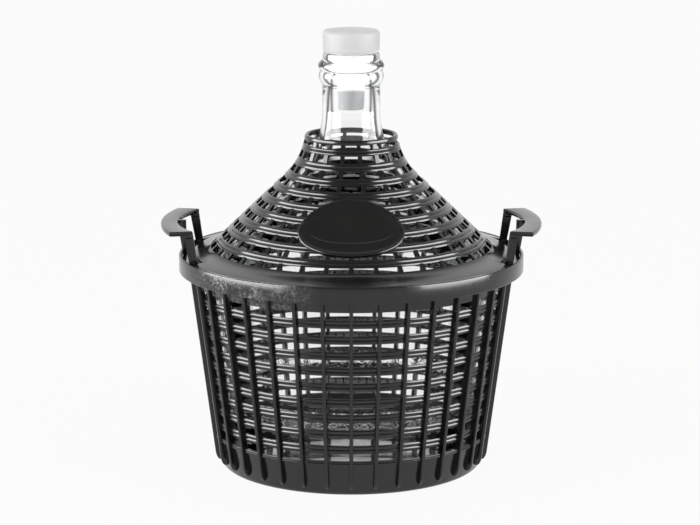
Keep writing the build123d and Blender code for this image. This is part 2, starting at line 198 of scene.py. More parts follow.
class Board:
    """The node tree of a material or of the world, with short ways to add and join nodes."""

    def __init__(self, owner: bpy.types.Material | bpy.types.World) -> None:
        """Clears the nodes of a material or world.

        Args:
            owner: The material or world.
        """
        owner.use_nodes = True
        self.tree = owner.node_tree
        self.tree.nodes.clear()

    def feed(self, socket: Socket, value: object) -> None:
        """Joins a socket to an input, or sets the input to a value.

        Args:
            socket: The input.
            value: A socket, number or colour.
        """
        if isinstance(value, Socket):
            self.tree.links.new(value, socket)
        else:
            socket.default_value = value

    def add(self, kind: str, **inputs: object) -> bpy.types.Node:
        """Adds a node.

        Args:
            kind: The node's type, without its ShaderNode prefix.
            **inputs: Values or sockets for its inputs, with underscores for spaces.

        Returns:
            The node.
        """
        node = self.tree.nodes.new("ShaderNode" + kind)
        for key, value in inputs.items():
            self.feed(node.inputs[key.replace("_", " ")], value)
        return node

    def spot(self, axis: str) -> Socket:
        """Gives the place along X, Y or Z in the object's own coordinates."""
        return self.add("SeparateXYZ", Vector=self.add("TexCoord").outputs["Object"]).outputs[axis]

    def noise(self, scale: float, detail: float = 3.0, roughness: float = 0.55) -> Socket:
        """Adds a noise in the object's own coordinates.

        Args:
            scale: Its scale for each metre.
            detail: How many octaves it has.
            roughness: How strong the fine octaves are.

        Returns:
            Its value socket.
        """
        place = self.add("TexCoord").outputs["Object"]
        noise = self.add("TexNoise", Vector=place, Scale=scale, Detail=detail, Roughness=roughness)
        return noise.outputs["Fac"]

    def between(
        self, value: Socket, low: float, high: float, first: float = 0.0, last: float = 1.0
    ) -> Socket:
        """Maps a range of a value onto another, and holds it there.

        Args:
            value: The value.
            low: Where the range starts.
            high: Where it ends.
            first: The result at its start.
            last: The result at its end.

        Returns:
            The result's socket.
        """
        node = self.add("MapRange", Value=value, From_Min=low, From_Max=high, To_Min=first, To_Max=last)
        return node.outputs["Result"]

    def mix(self, share: Socket, first: Socket | Colour, last: Colour) -> Socket:
        """Mixes two colours.

        Args:
            share: How much of the last there is.
            first: The first colour, or its socket.
            last: The last colour.

        Returns:
            The colour's socket.
        """
        node = self.tree.nodes.new("ShaderNodeMix")
        node.data_type = "RGBA"
        self.feed(node.inputs[0], share)
        self.feed(node.inputs[6], first if isinstance(first, Socket) else (*first, 1))
        self.feed(node.inputs[7], (*last, 1))
        return node.outputs[2]

    def choose(self, test: Socket, otherwise: object, result: object) -> Socket:
        """Chooses one of two values.

        Args:
            test: 1 for the result, 0 for the other.
            otherwise: The other number or socket.
            result: The result's number or socket.

        Returns:
            The chosen value's socket.
        """
        node = self.tree.nodes.new("ShaderNodeMix")
        for place, value in ((0, test), (2, otherwise), (3, result)):
            self.feed(node.inputs[place], value)
        return node.outputs[0]

    def math(self, operation: str, first: object, second: object) -> Socket:
        """Adds a sum of two values.

        Args:
            operation: The kind of sum.
            first: A number or socket.
            second: A number or socket.

        Returns:
            The result's socket.
        """
        node = self.tree.nodes.new("ShaderNodeMath")
        node.operation = operation
        for socket, value in zip(node.inputs, (first, second)):
            self.feed(socket, value)
        return node.outputs[0]

    def band(self, value: Socket, low: Point, high: Point) -> Socket:
        """Gives 1 inside a range of a value and 0 outside.

        Args:
            value: The value.
            low: Where the result rises, from 0 to 1.
            high: Where it falls back to 0.

        Returns:
            The result's socket.
        """
        return self.math("MULTIPLY", self.between(value, *low), self.between(value, *high, 1.0, 0.0))

    def bump(self, height: Socket, strength: float, distance: float, **inputs: Socket) -> Socket:
        """Adds a bump of this height, strength and distance in metres, and gives its normal."""
        node = self.add("Bump", Height=height, Strength=strength, Distance=distance, **inputs)
        return node.outputs["Normal"]

    def blend(self, share: Socket, first: bpy.types.Node, last: bpy.types.Node) -> Socket:
        """Mixes two shaders.

        Args:
            share: How much of the last there is.
            first: The first shader.
            last: The last shader.

        Returns:
            The mixed shader's socket.
        """
        node = self.tree.nodes.new("ShaderNodeMixShader")
        for place, value in enumerate((share, first.outputs[0], last.outputs[0])):
            self.feed(node.inputs[place], value)
        return node.outputs[0]


@dataclass(frozen=True)
class MouldedBlack:
    """Black moulded plastic with a satin skin; its scuffed kind adds pale scuff marks that are partly a
    painted sheen. Noise scales for each metre, heights in metres.
    """

    deep: Colour = (0.0045, 0.0043, 0.0036)
    worn: Colour = (0.0100, 0.0097, 0.0085)
    wear_scale: float = 22.0
    shine: float = 0.12
    dull: float = 0.24
    dull_scale: float = 60.0
    gloss: float = 0.5
    ripple: float = 0.10
    ripple_scale: float = 45.0
    ripple_height: float = 0.0006
    grain: float = 0.06
    grain_scale: float = 1400.0
    grain_height: float = 0.0002
    scuffs_and_sheen: bool = False
    scuff_and_sheen_colour: Colour = (0.42, 0.42, 0.41)
    scuff_and_sheen_share: float = 0.6
    scuff_and_sheen_right: Point = (-0.02, -0.06)
    scuff_and_sheen_left: Point = (-0.118, -0.095)
    scuff_and_sheen_front: Point = (0.0, -0.03)
    spot_scale: float = 420.0
    patch_scale: float = 60.0

    def make(self, name: str) -> bpy.types.Material:
        """Makes the material.

        Args:
            name: Its name.

        Returns:
            The material.
        """
        material = bpy.data.materials.new(name)
        board = Board(material)
        colour = board.mix(board.between(board.noise(self.wear_scale, 4.0), 0.35, 0.7), self.deep, self.worn)
        rough = board.between(board.noise(self.dull_scale, 5.0, 0.65), 0.3, 0.75, self.shine, self.dull)
        # Pale scuff marks on the front left of the rim, partly a painted sheen of the white floor below.
        if self.scuffs_and_sheen:
            scuff_and_sheen_marks = board.math("MULTIPLY", self.scuff_and_sheen_marks(board), self.scuff_and_sheen_share)
            colour = board.mix(scuff_and_sheen_marks, colour, self.scuff_and_sheen_colour)
            rough = board.math("MAXIMUM", rough, scuff_and_sheen_marks)
        ripple = board.bump(board.noise(self.ripple_scale, 2.0), self.ripple, self.ripple_height)
        grain = board.bump(board.noise(self.grain_scale, 2.0), self.grain, self.grain_height, Normal=ripple)
        skin = board.add("BsdfPrincipled", Base_Color=colour, Roughness=rough, Normal=grain)
        board.feed(skin.inputs["Specular IOR Level"], self.gloss)
        board.add("OutputMaterial", Surface=skin.outputs[0])
        return material

    def scuff_and_sheen_marks(self, board: Board) -> Socket:
        """Gives the mask of the pale scuffs on the front left of the rim, which also paint a sheen of the
        white floor below.

        Args:
            board: The material's board.

        Returns:
            The mask's socket.
        """
        right = board.between(board.spot("X"), *self.scuff_and_sheen_right)
        left = board.between(board.spot("X"), *self.scuff_and_sheen_left)
        front = board.between(board.spot("Y"), *self.scuff_and_sheen_front)
        where = board.math("MULTIPLY", board.math("MULTIPLY", right, left), front)
        spots = board.between(board.noise(self.spot_scale, 6.0, 0.75), 0.42, 0.62)
        patches = board.between(board.noise(self.patch_scale, 3.0), 0.34, 0.56, 0.15, 1.0)
        return board.math("MULTIPLY", where, board.math("MULTIPLY", spots, patches))


@dataclass(frozen=True)
class BlownGlass:
    """Clear blown glass, slightly uneven, with a stippled belt near the foot, and painted shade: dark lines
    and a dark rim where it is seen edge-on. Heights in metres.
    """

    clear: Colour = (0.985, 0.99, 0.99)
    # Painted shade: the colour of the glass where it is seen edge-on.
    edge: Colour = (0.03, 0.035, 0.04)
    rough: float = 0.015
    index: float = 1.5
    wave: float = 0.25
    wave_scale: float = 18.0
    wave_height: float = 0.0012
    belt: Point = (0.046, 0.060)
    belt_fade: float = 0.001
    dot: float = 0.6
    dot_scale: float = 520.0
    dot_height: float = 0.0006
    shade_line_rise: Point = (0.3, 0.4)
    shade_line_fall: Point = (0.46, 0.56)
    shade_rim_rise: Point = (0.75, 0.92)
    shade_rim_share: float = 0.9

    def make(self, name: str) -> bpy.types.Material:
        """Makes the material.

        Args:
            name: Its name.

        Returns:
            The material.
        """
        material = bpy.data.materials.new(name)
        board = Board(material)
        wave = board.bump(board.noise(self.wave_scale, 1.0), self.wave, self.wave_height)
        low, high = self.belt
        belt = board.band(board.spot("Z"), (low, low + self.belt_fade), (high - self.belt_fade, high))
        dots = board.math("MULTIPLY", board.between(board.noise(self.dot_scale, 1.0), 0.45, 0.6), belt)
        normal = board.bump(dots, self.dot, self.dot_height, Normal=wave)
        # Painted shade: a dark line and a dark rim where the glass is seen edge-on, in place of the dark
        # refractions there.
        facing = board.add("LayerWeight", Blend=0.5).outputs["Facing"]
        shade_lines = board.band(facing, self.shade_line_rise, self.shade_line_fall)
        rim = board.between(facing, *self.shade_rim_rise, 0.0, self.shade_rim_share)
        colour = board.mix(board.math("MAXIMUM", shade_lines, rim), self.clear, self.edge)
        glass = board.add("BsdfPrincipled", Base_Color=colour, Roughness=self.rough, Normal=normal)
        board.feed(glass.inputs["IOR"], self.index)
        board.feed(glass.inputs["Transmission Weight"], 1.0)
        clear = board.add("BsdfTransparent", Color=(*self.clear, 1))
        shadow = board.add("LightPath").outputs["Is Shadow Ray"]
        board.add("OutputMaterial", Surface=board.blend(shadow, glass, clear))
        return material


@dataclass(frozen=True)
class MilkyPolymer:
    """Milky translucent plastic of the stopper, with painted shade on its stem inside the neck. Noise scales
    for each metre, heights in metres.
    """

    pale: Colour = (0.93, 0.93, 0.94)
    light: Colour = (0.97, 0.97, 0.98)
    cloud_scale: float = 90.0
    # Painted shade: the grey of the stem, which sits in the bottle's neck.
    stem: Colour = (0.30, 0.30, 0.31)
    shaded_stem_top: float = 0.2765
    shaded_stem_fade: float = 0.003
    shine: float = 0.42
    dull: float = 0.56
    dull_scale: float = 240.0
    gloss: float = 0.25
    milk: float = 0.35
    milk_depth: float = 0.004
    grain: float = 0.05
    grain_scale: float = 900.0
    grain_height: float = 0.0002

    def make(self, name: str) -> bpy.types.Material:
        """Makes the material.

        Args:
            name: Its name.

        Returns:
            The material.
        """
        material = bpy.data.materials.new(name)
        board = Board(material)
        head = board.mix(board.between(board.noise(self.cloud_scale), 0.35, 0.65), self.pale, self.light)
        # Painted shade: the stem below its top height turns grey.
        inside = board.between(board.spot("Z"), self.shaded_stem_top, self.shaded_stem_top + self.shaded_stem_fade, 1.0, 0.0)
        colour = board.mix(inside, head, self.stem)
        rough = board.between(board.noise(self.dull_scale, 4.0), 0.3, 0.7, self.shine, self.dull)
        grain = board.bump(board.noise(self.grain_scale, 2.0), self.grain, self.grain_height)
        skin = board.add("BsdfPrincipled", Base_Color=colour, Roughness=rough, Normal=grain)
        board.feed(skin.inputs["Specular IOR Level"], self.gloss)
        board.feed(skin.inputs["Subsurface Weight"], self.milk)
        board.feed(skin.inputs["Subsurface Radius"], (1.0, 1.0, 1.0))
        board.feed(skin.inputs["Subsurface Scale"], self.milk_depth)
        board.add("OutputMaterial", Surface=skin.outputs[0])
        return material


def reeded(
    low: float, high: float, reeds: int, round_depth: float, wall: float, place: Place, steps: int = 6
) -> Outline:
    """Outline of a band with rounded reeds outside and a flat inside.

    Args:
        low: Where the band starts, along the wall.
        high: Where it ends.
        reeds: How many reeds it has.
        round_depth: How deep the valleys between reeds are.
        wall: How thick the band is.
        place: Gives the radius and height at a distance along the wall and a depth under its crest.
        steps: How many pieces the crest of each reed has.

    Returns:
        The closed outline, as radii and heights.
    """
    width = (high - low) / reeds
    points = []
    for reed in range(reeds):
        middle = low + (reed + 0.5) * width
        for step in range(steps + 1):
            angle = REED_SPREAD * (2 * step / steps - 1)
            across = math.sin(angle) / math.sin(REED_SPREAD)
            drop = (1 - math.cos(angle)) / (1 - math.cos(REED_SPREAD))
            points.append(place(middle + width / 2 * across, round_depth * drop))
    edge = REED_CHAMFER * (high - low)
    inside = [(high, wall - edge), (high - edge, wall), (low + edge, wall), (low, wall - edge)]
    return points + [place(s, depth) for s, depth in inside]


@dataclass
class Basket:
    """The moulded basket: foot, bands, ribs, rim and grips. Sizes in millimetres."""

    wall: float = 2.4
    base_height: float = 26.2
    base_radius: float = 99.8
    floor: float = 3.0
    floor_hollow: float = 1.2
    foot_ring: float = 10.0
    foot_edge: float = 3.8
    base_lean: float = 5.1
    lip: float = 0.8
    lip_height: float = 2.9
    lip_groove: float = 0.6
    rows: int = 10
    row_pitch: float = 11.6
    slot_height: float = 5.6
    reeds: int = 2
    reed_depth: float = 0.6
    ribs: int = 36
    rib_width: float = 2.8
    rib_stand: float = 2.8
    rib_start: float = 5.0
    rib_taper: float = 6.0
    rib_round: float = 0.7
    rib_tip: float = 0.35
    rib_swell: float = 1.6
    rib_draft: float = 0.9
    rim_radius: float = 125.0
    rim_overhang: float = 8.4
    rim_top: float = 156.6
    skirt: float = 2.0
    skirt_height: float = 12.5
    ledge: float = 2.4
    rim_lip: float = 2.7
    steps: int = 216
    black: MouldedBlack = field(default_factory=MouldedBlack)
    scuffs_and_sheen: MouldedBlack = field(default_factory=lambda: MouldedBlack(scuffs_and_sheen=True))

    @property
    def ledge_top(self) -> float:
        """Height of the ledge that carries the cover."""
        return self.rim_top - self.rim_lip

    @property
    def skirt_inside(self) -> float:
        """Inner radius of the skirt."""
        return self.rim_radius - self.skirt

    @property
    def flare(self) -> float:
        """Outward lean of the wall."""
        return (self.rim_radius - self.rim_overhang - self.base_radius) / (self.ledge_top - self.base_height)

    def surface(self, z: float, depth: float = 0.0) -> Point:
        """Gives the radius and height of the wall at this height, this deep under the crests."""
        return self.base_radius + self.flare * (z - self.base_height) - depth, z

    def build(self) -> None:
        """Builds and dresses all the basket's pieces."""
        black = self.black.make("black_moulding")
        # The rim's material carries pale scuffs that are partly a painted sheen.
        scuffs_and_sheen = self.scuffs_and_sheen.make("black_rim_scuffed_sheen")
        settle(self.make_foot(), black, Slot.BLACK, VESSEL, "basket")
        settle(self.make_bands(), black, Slot.BLACK, VESSEL)
        settle(self.make_ribs(), black, Slot.BLACK, VESSEL)
        settle(self.make_rim(), scuffs_and_sheen, Slot.BLACK, VESSEL)
        for side, name in ((1, "grip_right"), (-1, "grip_left")):
            settle(Grip(side=side, ledge_top=self.ledge_top).make(name), black, Slot.BLACK, VESSEL)

    def make_foot(self) -> bpy.types.Object:
        """Turns the floor and the solid band at the foot.

        Returns:
            The piece.
        """
        foot = self.base_radius - self.base_lean
        ring = foot - self.foot_edge - self.foot_ring
        lip_low = self.base_height - self.lip_height
        bead = self.base_radius + self.lip
        notch = self.base_height - self.lip_height / 2
        corners = [
            (0, self.floor_hollow),
            (ring, self.floor_hollow),
            (ring, 0),
            (foot, 0),
            self.surface(lip_low),
            (bead, lip_low),
            (bead, notch - self.lip_groove / 2),
            (bead - self.lip_groove, notch),
            (bead, notch + self.lip_groove / 2),
            (bead, self.base_height),
            self.surface(self.base_height, self.wall),
            (foot - self.wall, self.floor),
            (0, self.floor),
        ]
        radii = [0, 0.5, 0.5, self.foot_edge, 0.3, 0.5, 0.2, 0.1, 0.2, 0.5, 0.5, 1.5, 0]
        draft = Draft()
        draft.turn(rounded(corners, radii, steps=5, closed=False), self.steps, closed=False)
        return draft.piece("basket_foot")

    def make_bands(self) -> bpy.types.Object:
        """Turns the reeded bands between the rows of slots.

        Returns:
            The piece.
        """
        draft = Draft()
        for row in range(self.rows - 1):
            low = self.base_height + row * self.row_pitch + self.slot_height
            high = self.base_height + (row + 1) * self.row_pitch
            draft.turn(reeded(low, high, self.reeds, self.reed_depth, self.wall, self.surface), self.steps)
        return draft.piece("basket_bands")

    def make_ribs(self) -> bpy.types.Object:
        """Sets the upright ribs round the wall, with rounded tongues at their feet.

        Returns:
            The piece.
        """
        draft = Draft()
        top = self.ledge_top - self.ledge / 2
        shares = (0, 0.03, 0.1, 0.2, 0.35, 0.55, 0.8, 1)
        heights = [self.rib_start + self.rib_taper * share for share in shares]
        heights += list(np.linspace(heights[-1], top, 9)[1:])
        for place in range(self.ribs):
            turn = 2 * math.pi * place / self.ribs
            out = np.array([math.cos(turn), math.sin(turn), 0.0])
            side = np.array([-math.sin(turn), math.cos(turn), 0.0])
            loops = []
            for height in heights:
                share = min(1.0, (height - self.rib_start) / self.rib_taper)
                swell = math.sqrt(max(0.0, 1 - (1 - share) ** 2))
                spread = min(1.0, self.rib_swell * swell)
                width = self.rib_width * (self.rib_tip + (1 - self.rib_tip) * spread)
                section = self.rib_section(height, width, self.rib_stand * swell)
                loops.append([out * r + side * y + np.array([0, 0, height]) for r, y in section])
            draft.skin(np.array(loops), ring=False)
        return draft.piece("basket_ribs")

    def rib_section(self, height: float, width: float, stand: float) -> Outline:
        """Outline of a rib across its length.

        Args:
            height: Where it is cut.
            width: How wide it is there.
            stand: How far it stands out of the bands there.

        Returns:
            The outline, as distances out and across.
        """
        crest = self.surface(height)[0]
        root = crest - self.wall
        half = width / 2
        face = half * self.rib_draft
        corners = [(root, -half), (crest + stand, -face), (crest + stand, face), (root, half)]
        edge = min(self.rib_round, half * 0.6)
        return rounded(corners, [0, edge, edge, 0], steps=3)

    def make_rim(self) -> bpy.types.Object:
        """Turns the collar, the ledge and the skirt.

        Returns:
            The piece.
        """
        collar = self.base_height + (self.rows - 1) * self.row_pitch + self.slot_height
        under = self.ledge_top - self.ledge
        bottom = self.rim_top - self.skirt_height
        corners = [
            self.surface(collar, self.wall),
            self.surface(collar),
            self.surface(under),
            (self.skirt_inside, under),
            (self.skirt_inside, bottom),
            (self.rim_radius, bottom),
            (self.rim_radius, self.rim_top),
            (self.skirt_inside, self.rim_top),
            (self.skirt_inside, self.ledge_top),
            self.surface(self.ledge_top, self.wall),
        ]
        radii = [0.4, 0.6, 1.0, 1.0, 0.5, 0.9, 1.0, 0.6, 0.5, 0.4]
        draft = Draft()
        draft.turn(rounded(corners, radii, steps=4), self.steps)
        return draft.piece("basket_rim")


@dataclass
class Grip:
    """A crescent grip on three legs. Sizes in millimetres, for the right side."""

    side: int
    ledge_top: float
    top: float = 180.0
    thickness: float = 3.4
    reach: float = 137.7
    end_reach: float = 129.0
    inner_middle: float = 125.5
    inner_end: float = 112.6
    half_span: float = 47.0
    leg_span: float = 42.0
    leg_thickness: float = 3.2
    foot_outer: float = 114.6
    foot_width: float = 5.4
    head_width: float = 6.6
    flange: float = 1.3
    web: float = 1.2
    channel: Point = (0.16, 0.84)
    channel_end: float = 0.04
    brace_foot: Point = (119.2, 121.8)
    brace_head: Point = (119.7, 126.0)
    brace_round: float = 0.4
    foot_sink: float = 1.0
    recess: float = 1.2
    recess_rim: float = 0.8
    edge: float = 0.9

    def make(self, name: str) -> bpy.types.Object:
        """Builds the grip.

        Args:
            name: The piece's name.

        Returns:
            The piece.
        """
        draft = Draft()
        self.add_plate(draft)
        for place in (-1, 1):
            self.add_leg(draft, place * self.leg_span)
        self.add_brace(draft)
        draft.points = [(self.side * x, self.side * y, z) for x, y, z in draft.points]
        return draft.piece(name, crease=32.0)

    def arc(self, middle: float, end: float, half: float, share: float) -> Point:
        """Point on an arc that bows outwards.

        Args:
            middle: Its x in the middle.
            end: Its x at the ends.
            half: Half its length across.
            share: From -1 at one end to 1 at the other.

        Returns:
            The point's x and y.
        """
        bow = middle - end
        radius = (half * half + bow * bow) / (2 * bow)
        y = share * half
        return middle - radius + math.sqrt(radius * radius - y * y), y

    def add_plate(self, draft: Draft) -> None:
        """Adds the crescent plate, with a recess in each of its ends.

        Args:
            draft: The mesh that it is added to.
        """
        end = self.leg_span + self.leg_thickness / 2
        shares = np.linspace(-1, 1, 33)
        sections = [self.section(end, float(share), 0.0) for share in shares]
        for share, at_end in ((-1.0, 0), (1.0, -1)):
            flush = self.section(end, share, self.recess_rim)
            sunk = [(x, y - share * self.recess, z) for x, y, z in flush]
            extra = [flush, sunk] if at_end else [sunk, flush]
            sections = sections + extra if at_end else extra + sections
        draft.skin(np.array(sections, float), ring=False)

    def section(self, end: float, share: float, inset: float) -> list[Spot]:
        """Outline of the plate across its length.

        Args:
            end: Half the length of its inner edge.
            share: Where along the plate it is cut, from -1 to 1.
            inset: How far the outline is drawn in.

        Returns:
            The outline's points.
        """
        inner = np.array(self.arc(self.inner_middle, self.inner_end, end, share))
        outer = np.array(self.arc(self.reach, self.end_reach, self.half_span, share))
        length = float(np.linalg.norm(outer - inner))
        across = (outer - inner) / length
        bottom = self.top - self.thickness
        corners = [
            (inset, bottom + inset),
            (length - inset, bottom + inset),
            (length - inset, self.top - inset),
            (inset, self.top - inset),
        ]
        edge = max(0.2, self.edge - inset)
        loop = []
        for out, z in rounded(corners, [edge] * 4, steps=3):
            spot = inner + across * out
            loop.append((spot[0], spot[1], z))
        return loop

    def add_leg(self, draft: Draft, y: float) -> None:
        """Adds an end leg with a channel in each face.

        Args:
            draft: The mesh that it is added to.
            y: Where the leg's middle is.
        """
        head_outer = self.inner_end + self.head_width
        low = self.ledge_top - self.foot_sink
        high = self.top - self.thickness / 2
        start, end = self.channel
        loops = []
        for share in (0.0, start - self.channel_end, start, end, end + self.channel_end, 1.0):
            outer = self.foot_outer + share * (head_outer - self.foot_outer)
            inner = outer - self.foot_width - share * (self.head_width - self.foot_width)
            half = self.leg_thickness / 2
            web = self.web / 2 if start <= share <= end else half - 0.01
            near, far = inner + self.flange, outer - self.flange
            loop = [(inner, -half), (near, -half), (near, -web), (far, -web), (far, -half), (outer, -half)]
            loop += [(x, -side) for x, side in reversed(loop)]
            z = low + share * (high - low)
            loops.append([(x, y + side, z) for x, side in loop])
        draft.skin(np.array(loops, float), ring=False)

    def add_brace(self, draft: Draft) -> None:
        """Adds the middle leg, flush with the top of the grip.

        Args:
            draft: The mesh that it is added to.
        """
        low = self.ledge_top - self.foot_sink
        high = self.top - self.thickness / 2
        half = self.leg_thickness / 2
        loops = []
        for share, z in ((0.0, low), (0.5, (low + high) / 2), (1.0, high), (1.0, self.top)):
            inner = self.brace_foot[0] + share * (self.brace_head[0] - self.brace_foot[0])
            outer = self.brace_foot[1] + share * (self.brace_head[1] - self.brace_foot[1])
            corners = [(inner, -half), (outer, -half), (outer, half), (inner, half)]
            loops.append([(x, y, z) for x, y in rounded(corners, [self.brace_round] * 4, steps=2)])
        draft.skin(np.array(loops, float), ring=False)


@dataclass
class Cover:
    """The moulded cover: flange, rings, bars and oval plate. Sizes in millimetres."""

    basket: Basket
    wall: float = 2.4
    clearance: float = 0.4
    seat_gap: float = 0.3
    cone_radius: float = 104.0
    cone_rise: float = 5.9
    cone_angle: float = 44.0
    cone_length: float = 77.9
    neck_bend: float = 48.6
    neck_turn: float = 39.4
    seat_width: float = 6.6
    notch_depth: float = 8.3
    notch_angle: float = 47.0
    notch_corner: float = 1.6
    notch_blend: float = 1.2
    flange_bevel: float = 0.4
    cone_blend: float = 0.8
    window_bevel: float = 0.3
    window_start: float = 5.2
    window_pitch: float = 11.55
    window_height: float = 5.2
    last_pitch: float = 8.8
    last_height: float = 2.6
    bar_width: float = 3.2
    lower_rows: int = 5
    middle_rows: int = 4
    lower_bars: int = 36
    middle_bars: int = 18
    top_bars: int = 9
    reeds: int = 2
    reed_depth: float = 0.6
    bar_sink: float = 0.3
    bar_overlap: float = 0.5
    steps: int = 180
    black: MouldedBlack = field(default_factory=MouldedBlack)

    @property
    def foot(self) -> float:
        """Height of the foot of the cone."""
        return self.basket.ledge_top + self.cone_rise

    @property
    def length(self) -> float:
        """Length of the whole slope."""
        return self.cone_length + self.neck_bend * math.radians(self.neck_turn)

    def slope(self, s: float, depth: float = 0.0) -> Point:
        """Gives the radius and height at this distance up the slope, this deep under its surface.

        Args:
            s: The distance from the foot of the cone.
            depth: The depth under the surface.

        Returns:
            The radius and the height.
        """
        out = math.cos(math.radians(self.cone_angle))
        up = math.sin(math.radians(self.cone_angle))
        if s <= self.cone_length:
            return self.cone_radius - s * out - depth * up, self.foot + s * up - depth * out
        centre_r = self.cone_radius - self.cone_length * out + self.neck_bend * up
        centre_z = self.foot + self.cone_length * up + self.neck_bend * out
        turn = math.radians(self.cone_angle) + (s - self.cone_length) / self.neck_bend
        reach = self.neck_bend + depth
        return centre_r - reach * math.sin(turn), centre_z - reach * math.cos(turn)

    def rows(self) -> list[tuple[float, float, int]]:
        """Lists the rows of windows, from the lowest up.

        Returns:
            For each row, its middle and height up the slope and its number of bars.
        """
        rows = []
        for row in range(self.lower_rows + self.middle_rows):
            bars = self.lower_bars if row < self.lower_rows else self.middle_bars
            rows.append((self.window_start + row * self.window_pitch, self.window_height, bars))
        rows.append((rows[-1][0] + self.last_pitch, self.last_height, self.top_bars))
        return rows

    def build(self) -> None:
        """Builds and dresses all the cover's pieces."""
        black = self.black.make("black_cover")
        settle(self.make_flange(), black, Slot.BLACK, VESSEL, "cover")
        settle(self.make_rings(), black, Slot.BLACK, VESSEL)
        settle(self.make_bars(), black, Slot.BLACK, VESSEL)
        settle(OvalPlate(cover=self).make("cover_plate"), black, Slot.BLACK, VESSEL)

    def flange_angles(self) -> list[float]:
        """Lists where the flange has a section, closer together at the ends of the notches.

        Returns:
            The angles, in degrees from +X.
        """
        angles = {360 * step / self.steps for step in range(self.steps)}
        shifts = np.linspace(-self.notch_blend, self.notch_blend, 17)
        for side in (0.0, 180.0):
            for end in (-self.notch_angle / 2, self.notch_angle / 2):
                angles |= {(side + end + shift) % 360 for shift in shifts}
        return sorted(angles)

    def edge(self, angle: float) -> float:
        """Gives the radius of the flange's edge at this angle.

        Args:
            angle: The angle, in degrees from +X.

        Returns:
            The radius.
        """
        whole = self.basket.skirt_inside - self.clearance
        away = min(abs((angle - side + 180) % 360 - 180) for side in (0.0, 180.0))
        past = math.radians(away - self.notch_angle / 2) * whole / self.notch_corner
        share = min(1.0, max(0.0, past + 0.5))
        return whole - self.notch_depth * (1 - share * share * (3 - 2 * share))

    def make_flange(self) -> bpy.types.Object:
        """Turns the flange up to the first row of windows, with its two notches.

        Returns:
            The piece.
        """
        whole = self.basket.skirt_inside - self.clearance
        seat = self.basket.ledge_top + self.seat_gap
        inner_r, inner_z = self.slope(0, self.wall)
        up = self.window_start - self.window_height / 2
        under = ([inner_r, whole - self.seat_width], [inner_z, seat])
        over = ([self.cone_radius, whole], [self.foot, self.basket.rim_top])
        bevel = self.flange_bevel
        loops = []
        for angle in self.flange_angles():
            edge = self.edge(angle)
            loop = [self.slope(up, self.wall), (inner_r, inner_z)]
            for share in (0.25, 0.5, 0.75):
                r = inner_r + share * (edge - inner_r)
                loop.append((r, float(np.interp(r, *under))))
            low = float(np.interp(edge, *under))
            high = float(np.interp(edge, *over))
            loop += [(edge - bevel, low), (edge, low + bevel), (edge, high - 1.25 * bevel)]
            loop += [(edge - 0.375 * bevel, high - 0.375 * bevel), (edge - 1.5 * bevel, high)]
            for share in (0.7, 0.4, 0.12):
                r = self.cone_radius + share * (edge - self.cone_radius)
                loop.append((r, float(np.interp(r, *over))))
            loop += [self.slope(self.cone_blend), self.slope(up - self.window_bevel)]
            loop.append(self.slope(up, self.window_bevel))
            turn = math.radians(angle)
            loops.append([(r * math.cos(turn), r * math.sin(turn), z) for r, z in loop])
        draft = Draft()
        draft.skin(np.array(loops, float), ring=True)
        return draft.piece("cover_flange")

    def make_rings(self) -> bpy.types.Object:
        """Turns the reeded rings between the rows of windows, and the top ring.

        Returns:
            The piece.
        """
        draft = Draft()
        rows = self.rows()
        for below, above in zip(rows, rows[1:]):
            low = below[0] + below[1] / 2
            high = above[0] - above[1] / 2
            draft.turn(reeded(low, high, self.reeds, self.reed_depth, self.wall, self.slope), self.steps)
        low = rows[-1][0] + rows[-1][1] / 2
        draft.turn(reeded(low, self.length, 1, self.reed_depth, self.wall, self.slope), self.steps)
        return draft.piece("cover_rings")

    def make_bars(self) -> bpy.types.Object:
        """Sets the bars across every row of windows.

        Returns:
            The piece.
        """
        draft = Draft()
        for middle, height, bars in self.rows():
            low = middle - height / 2 - self.bar_overlap
            high = middle + height / 2 + self.bar_overlap
            depth, deeper = self.bar_sink, self.wall - self.bar_sink
            spots = [(low, depth), (low, deeper), (high, deeper), (high, depth)]
            outline = [self.slope(*spot) for spot in spots]
            angle = math.degrees(self.bar_width / self.slope(middle)[0])
            step = 360 / bars
            first = -90.0 if bars == self.lower_bars else -90.0 - 360 / self.lower_bars
            for bar in range(bars):
                draft.turn(outline, 2, start=first + bar * step - angle / 2, sweep=angle)
        return draft.piece("cover_bars")


